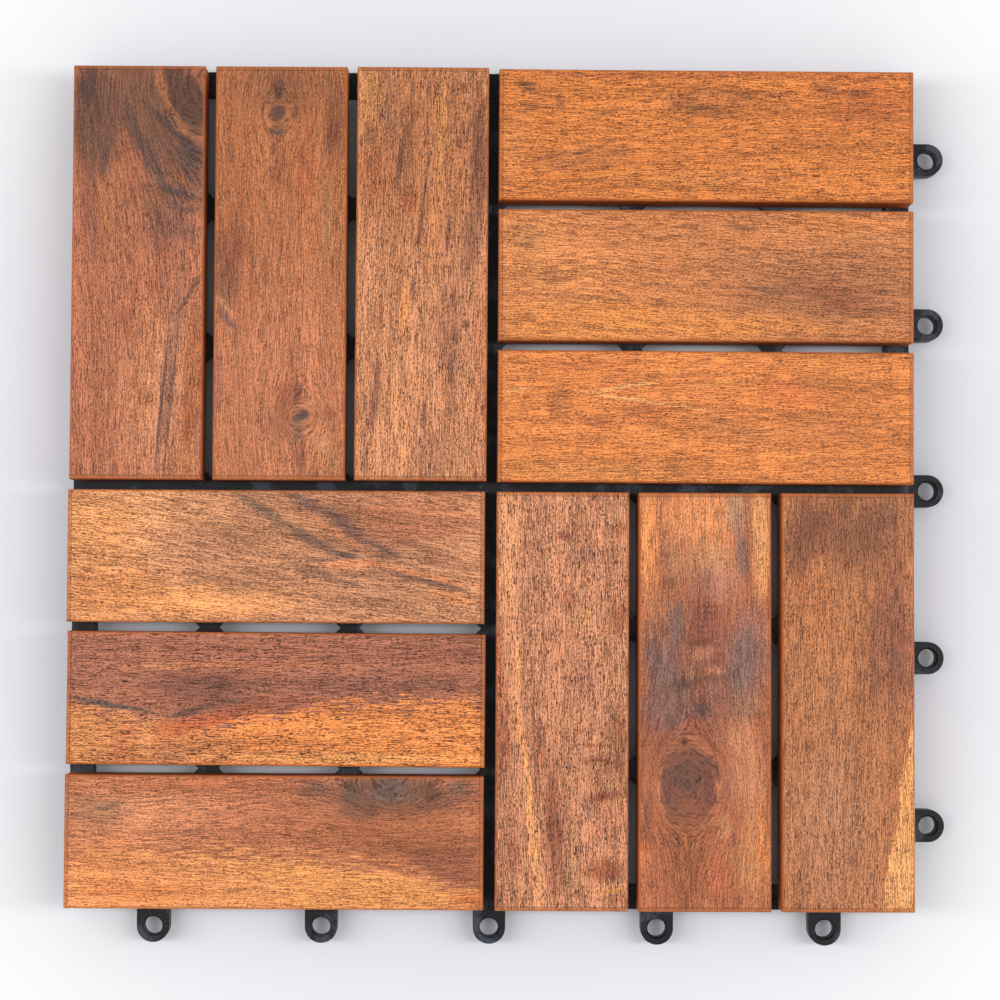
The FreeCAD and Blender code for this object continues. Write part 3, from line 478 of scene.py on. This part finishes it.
def woodMaterial(node, look):
    finish = Finish(f"wood {node}")
    shared = woodSettings
    seed = look["seed"]
    backward = look["lengthwise"] == "back"

    # Places on the slat in millimetres, from the middle of its upper face
    under = corners(node)
    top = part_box(node)[1].z
    middle = sum(under, Vector()) / 4
    side = under[1] - under[0]
    place = finish.add("ShaderNodeTexCoord", output="Object")
    onSlat = finish.add("ShaderNodeMapping", {"vector_type": "TEXTURE"},
                        {"Vector": place, "Location": (middle.x, middle.y, top),
                         "Rotation": (0, 0, math.atan2(side.y, side.x)), "Scale": (millimetre,) * 3})
    across, along, depth = finish.parts(onSlat)
    width, length = side.length / millimetre, (under[3] - under[0]).length / millimetre
    if not backward:
        along, across = across, along
        length, width = width, length

    # The way the fibres run: across, bent by slow waves and round the knots
    stepAlong, stepAcross = shared["boardStep"]
    board = finish.vector(along + seed * stepAlong, across + seed * stepAcross, depth)
    slow = finish.wave(board, shared["slowWave"])
    quick = finish.wave(board, shared["quickWave"])
    calm = look["contrast"]
    fibre = across + slow * look["wander"] + quick * shared["quickWander"] + along * look["lean"]
    fadeStart, fadeEnd = shared["knotEdge"]
    for atAlong, atAcross, radius, stretch in look["bends"]:
        a = (along - atAlong) / stretch
        c = across - atAcross
        away = a * a + c * c
        reach = radius * radius
        fibre = fibre - c * (reach / away.maths("MAXIMUM", away, reach))
        away = finish.add("ShaderNodeMath", {"operation": "SQRT"}, {0: away})
        fibre = fibre + away.maths("MAXIMUM", radius - away, 0.0) * shared["knotRings"]
        calm = calm * (1.0 - finish.step(away, radius * fadeStart, radius * fadeEnd, shared["knotCalm"]))
    grain = finish.vector(along + seed * shared["grainStep"], fibre, depth)
    jitter = finish.wave(board, shared["jitter"])
    strand = finish.vector(along + seed * shared["strandStep"] + jitter * shared["jitterAlong"],
                           fibre + jitter * shared["jitterAcross"], depth)

    # Coloured fields, feathered along the grain; small marks keep their shape better
    feather = finish.wave(grain, shared["feather"], 2.0)
    blotch = finish.wave(board, shared["blotch"])

    def strayed(reach):
        lengthways, patchy, sideways = reach
        return finish.vector(along + feather * lengthways,
                             across + blotch * patchy + feather * sideways, 0.0)

    loose = strayed(shared["looseEdge"])
    close = strayed(shared["closeEdge"])
    largeLong, largeWide = shared["largeMark"]
    colour = paint(look["base"])
    for code, amount, atAlong, atAcross, halfLong, halfWide, tilt, softness in look["marks"]:
        large = halfWide > largeWide and halfLong > largeLong
        inside = finish.add("ShaderNodeMapping", {"vector_type": "TEXTURE"},
                            {"Vector": loose if large else close, "Location": (atAlong, atAcross, 0),
                             "Rotation": (0, 0, math.radians(tilt)), "Scale": (halfLong, halfWide, 1)})
        distance = finish.add("ShaderNodeVectorMath", {"operation": "LENGTH"}, {0: inside}, "Value")
        mask = finish.step(distance + feather * shared["ragged"], 1.0 + softness * shared["spill"],
                           1.0 - softness, amount)
        colour = finish.mix(mask, colour, paint(code))

    # Streaks and ripples, lighter and darker than the colour that they lie on
    fine = finish.wave(strand, shared["fine"])
    layers = (finish.wave(grain, shared["broad"], 2.0), finish.wave(grain, shared["middle"], 2.0),
              fine, finish.wave(strand, shared["dash"], 0.0))
    streaks = sum(layer * weight for layer, weight in zip(layers, shared["streakWeights"]))
    ripple = finish.wave(board, shared["ripple"])
    tone = 0.5 + streaks * calm + ripple * look["ripples"]
    tint = finish.mix(tone, shared["darkTint"], shared["paleTint"])
    colour = finish.mix(1.0, colour, tint, "MULTIPLY")

    # Pores, thicker in some places than in others
    pores = sum(finish.noise(strand, shared[kind], 0.0) * shared["poreWeight"]
                for kind in ("longPore", "shortPore"))
    crowd = finish.noise(board, shared["crowd"])
    pore = finish.step(pores + crowd * shared["crowdWeight"], *shared["poreEdge"]) * look["pores"]
    colour = finish.mix(pore * shared["poreAmount"], colour, paint(shared["poreColour"]))

    # The eased edges are painted reddish orange and a dark line is painted where the planed face ends,
    # painted light and shade on the arrises; the sawn ends are darker
    fromEnd = length / 2 - finish.add("ShaderNodeMath", {"operation": "ABSOLUTE"}, {0: along})
    fromSide = width / 2 - finish.add("ShaderNodeMath", {"operation": "ABSOLUTE"}, {0: across})
    # Painted light and shade on the arrises, and a painted dark line where the planed face ends
    endPaintedArris = finish.step(fromEnd, *shared["endPaintedArris"])
    paintedArris = endPaintedArris.maths("MAXIMUM", endPaintedArris, finish.step(fromSide, *shared["sidePaintedArris"]))
    paintedEndShade = finish.step(fromEnd, *shared["endShadeOuter"]) * finish.step(fromEnd, *shared["endShadeInner"])
    colour = finish.mix(paintedArris * shared["paintedArrisAmount"], colour, paint(shared["paintedArrisColour"]))
    colour = finish.mix(paintedEndShade * shared["endShadeAmount"], colour, paint(shared["endShadeColour"]))
    facing = finish.parts(finish.add("ShaderNodeTexCoord", output="Normal"))[1 if backward else 0]
    sawn = finish.step(facing * facing, *shared["endFacing"])
    colour = finish.mix(sawn * shared["endAmount"], colour, paint(shared["endColour"]))

    roughness = shared["roughness"] + pore * shared["poreRoughness"] - fine * shared["fineShine"]
    height = fine * shared["fineHeight"] - pore
    bump = finish.bump(height, shared["bumpStrength"], shared["bumpDepth"] * millimetre)
    return finish.surface({"Base Color": colour, "Roughness": roughness,
                           "Specular IOR Level": shared["shine"], "Normal": bump})


# Slats: the planed board of the model with its vertical corners just broken
boardSettings = {
    "arris": 1.1,                 # eased upper edges
    "corner": 0.3,
    "lower": 0.25,
    "rounds": 5,
}


def makeBoard(node):
    under = corners(node)
    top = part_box(node)[1].z
    mesh = bpy.data.meshes.new(node)
    shape = bmesh.new()
    weights = shape.edges.layers.float.new("bevel_weight_edge")
    low = [shape.verts.new(point) for point in under]
    high = [shape.verts.new((point.x, point.y, top)) for point in under]
    shape.faces.new(low[::-1])
    shape.faces.new(high)
    for count in range(4):
        following = (count + 1) % 4
        shape.faces.new((low[count], low[following], high[following], high[count]))
    for edge in shape.edges:
        above = sum(vertex in high for vertex in edge.verts)
        size = (boardSettings["lower"], boardSettings["corner"], boardSettings["arris"])[above]
        edge[weights] = size / boardSettings["arris"]
    shape.to_mesh(mesh)
    shape.free()
    rough = bpy.data.objects.new(node + "_rough", mesh)
    bpy.context.scene.collection.objects.link(rough)
    bevel = rough.modifiers.new("eased", "BEVEL")
    bevel.limit_method = "WEIGHT"
    bevel.width = boardSettings["arris"] * millimetre
    bevel.segments = boardSettings["rounds"]
    bevel.harden_normals = True
    for polygon in mesh.polygons:
        polygon.use_smooth = True
    settled = rough.evaluated_get(bpy.context.evaluated_depsgraph_get())
    piece = bpy.data.objects.new(node.replace("slat", "board"), bpy.data.meshes.new_from_object(settled))
    bpy.context.scene.collection.objects.link(piece)
    bpy.data.objects.remove(rough)
    return piece


for node, look in slats.items():
    piece = makeBoard(node)
    piece.data.materials.clear()
    piece.data.materials.append(woodMaterial(node, look))
    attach(piece, "root")
    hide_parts(node)
print("slats made:", len(slats))


# Base: black plastic, satin, with pale scuffs, and pale patches that are partly dust and partly a painted
# reflection of the lamps. Lengths in millimetres.
plasticSettings = {
    "plain": "1b1d23",
    # the pale patches: part dust, part painted reflection of the lamps on the satin plastic
    "dustAndSheenColour": "454b58",
    "deep": "0f1116",
    "scuff": "7c828c",
    "cloud": 11.0,
    "speck": 0.9,
    "grit": 0.25,
    "deepEdge": (0.42, 0.62),     # noise between which one colour gives way to the next
    "dustAndSheenEdge": (0.66, 0.8),
    "scuffEdge": (0.68, 0.78),
    "speckWeight": 0.3,
    "dustAndSheenAmount": 0.8,
    "scuffAmount": 0.5,
    "roughness": 0.36,
    "cloudRoughness": 0.25,
    "shine": 0.3,
    "bumpStrength": 0.3,
    "bumpDepth": 0.05,
}


def plasticMaterial():
    finish = Finish("black plastic")
    shared = plasticSettings
    place = finish.add("ShaderNodeTexCoord", output="Object")
    cloud = finish.noise(place, (shared["cloud"] * millimetre,) * 3, 3.0)
    speck = finish.noise(place, (shared["speck"] * millimetre,) * 3, 2.0)
    grit = finish.noise(place, (shared["grit"] * millimetre,) * 3, 2.0)
    dustAndSheen = finish.step(cloud + speck * shared["speckWeight"], *shared["dustAndSheenEdge"])
    scuff = finish.step(speck, *shared["scuffEdge"])
    worn = finish.step(cloud, *shared["deepEdge"])
    colour = finish.mix(worn, paint(shared["deep"]), paint(shared["plain"]))
    # Pale patches, part dust and part painted reflection of the lamps
    colour = finish.mix(dustAndSheen * shared["dustAndSheenAmount"], colour, paint(shared["dustAndSheenColour"]))
    colour = finish.mix(scuff * shared["scuffAmount"], colour, paint(shared["scuff"]))
    roughness = shared["roughness"] + cloud * shared["cloudRoughness"]
    bump = finish.bump(grit + speck, shared["bumpStrength"], shared["bumpDepth"] * millimetre)
    return finish.surface({"Base Color": colour, "Roughness": roughness,
                           "Specular IOR Level": shared["shine"], "Normal": bump})


# Screws: zinc plated, a little cloudy
steelSettings = {
    "dull": "8f8d86",
    "bright": "c9c6bd",
    "cloud": 2.0,
    "roughness": 0.3,
    "cloudRoughness": 0.2,
    "bumpStrength": 0.2,
    "bumpDepth": 0.05,
}


def steelMaterial():
    finish = Finish("zinc plated steel")
    shared = steelSettings
    place = finish.add("ShaderNodeTexCoord", output="Object")
    cloud = finish.noise(place, (shared["cloud"] * millimetre,) * 3, 3.0)
    colour = finish.mix(cloud, paint(shared["dull"]), paint(shared["bright"]))
    roughness = shared["roughness"] + cloud * shared["cloudRoughness"]
    bump = finish.bump(cloud, shared["bumpStrength"], shared["bumpDepth"] * millimetre)
    return finish.surface({"Base Color": colour, "Metallic": 1.0, "Roughness": roughness, "Normal": bump})


for node, material, slot in (("base_grid", plasticMaterial(), "base_plastic"),
                             ("screws", steelMaterial(), "screw_steel")):
    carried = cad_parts[node]
    carried.data.materials.clear()
    carried.data.materials.append(material)
print("base and screws finished")

# Floor, light and camera, in metres apart from the camera's place
stageSettings = {
    "floorSize": 3.0,
    "floorLevel": -0.0002,        # just under the tile's feet
    # painted shade round the tile: the floor goes from the greyer near colour to white between these
    # distances from the middle
    "floorShadeFade": (0.15, 0.30),
    "floorRoughness": 0.9,
    "floorShine": 0.2,
    "shadedNearColour": "ebebf2",
    "farColour": "ffffff",
    "worldLight": 0.565,
    "lampSize": (1.6, 0.3),
    "lampPlace": (1.1, 0.0, 1.3),
    "lampPower": 10.2,
    "cameraPlace": (-9.9, -41.1, 850.0),  # in millimetres
    "cameraTurn": (-2.19, 0.12, -0.335),
    "cameraShift": (0.0315, 0.0133),
    "cameraFocus": 2340.6,        # focal length in pixels of the photo's frame
    "frameWidth": 1000,
    "cameraNear": 0.01,
}

floorMesh = bpy.data.meshes.new("floor")
half = stageSettings["floorSize"] / 2
floorMesh.from_pydata([(x * half, y * half, stageSettings["floorLevel"])
                       for x, y in ((-1, -1), (1, -1), (1, 1), (-1, 1))], [], [(0, 1, 2, 3)])
floor = bpy.data.objects.new("floor", floorMesh)
bpy.context.scene.collection.objects.link(floor)
floorFinish = Finish("pale floor")
floorPlace = floorFinish.add("ShaderNodeTexCoord", output="Object")
floorAway = floorFinish.add("ShaderNodeVectorMath", {"operation": "LENGTH"}, {0: floorPlace}, "Value")
# The floor is painted greyer near the tile, a painted shade round it, fading to white farther out
shadedFloorColour = floorFinish.mix(floorFinish.step(floorAway, *stageSettings["floorShadeFade"]),
                              paint(stageSettings["shadedNearColour"]), paint(stageSettings["farColour"]))
floor.data.materials.append(floorFinish.surface({
    "Base Color": shadedFloorColour, "Roughness": stageSettings["floorRoughness"],
    "Specular IOR Level": stageSettings["floorShine"]}))

world = bpy.data.worlds.new("studio")
bpy.context.scene.world = world
world.use_nodes = True
background = world.node_tree.nodes["Background"]
background.inputs["Color"].default_value = (1, 1, 1, 1)
background.inputs["Strength"].default_value = stageSettings["worldLight"]

for side in (-1, 1):
    lamp = bpy.data.lights.new("strip light", "AREA")
    lamp.shape = "RECTANGLE"
    lamp.size, lamp.size_y = stageSettings["lampSize"]
    lamp.energy = stageSettings["lampPower"]
    lampObject = bpy.data.objects.new("strip light", lamp)
    away, forward, up = stageSettings["lampPlace"]
    lampObject.location = (side * away, forward, up)
    lampObject.rotation_euler = (0, side * math.atan2(away, up), 0)
    bpy.context.scene.collection.objects.link(lampObject)

camera = bpy.data.cameras.new("camera")
camera.lens = stageSettings["cameraFocus"] / stageSettings["frameWidth"] * camera.sensor_width
camera.shift_x, camera.shift_y = stageSettings["cameraShift"]
camera.clip_start = stageSettings["cameraNear"]
cameraObject = bpy.data.objects.new("camera", camera)
bpy.context.scene.collection.objects.link(cameraObject)
turnX, turnY, turnZ = [math.radians(angle) for angle in stageSettings["cameraTurn"]]
toCamera = Matrix.Rotation(turnZ, 3, "Z") @ Matrix.Rotation(turnY, 3, "Y") @ Matrix.Rotation(turnX, 3, "X")
cameraObject.matrix_world = (Matrix.Translation(Vector(stageSettings["cameraPlace"]) * millimetre)
                             @ toCamera.transposed().to_4x4())
bpy.context.scene.camera = cameraObject
bpy.context.scene.view_settings.view_transform = "Standard"
print("stage set")
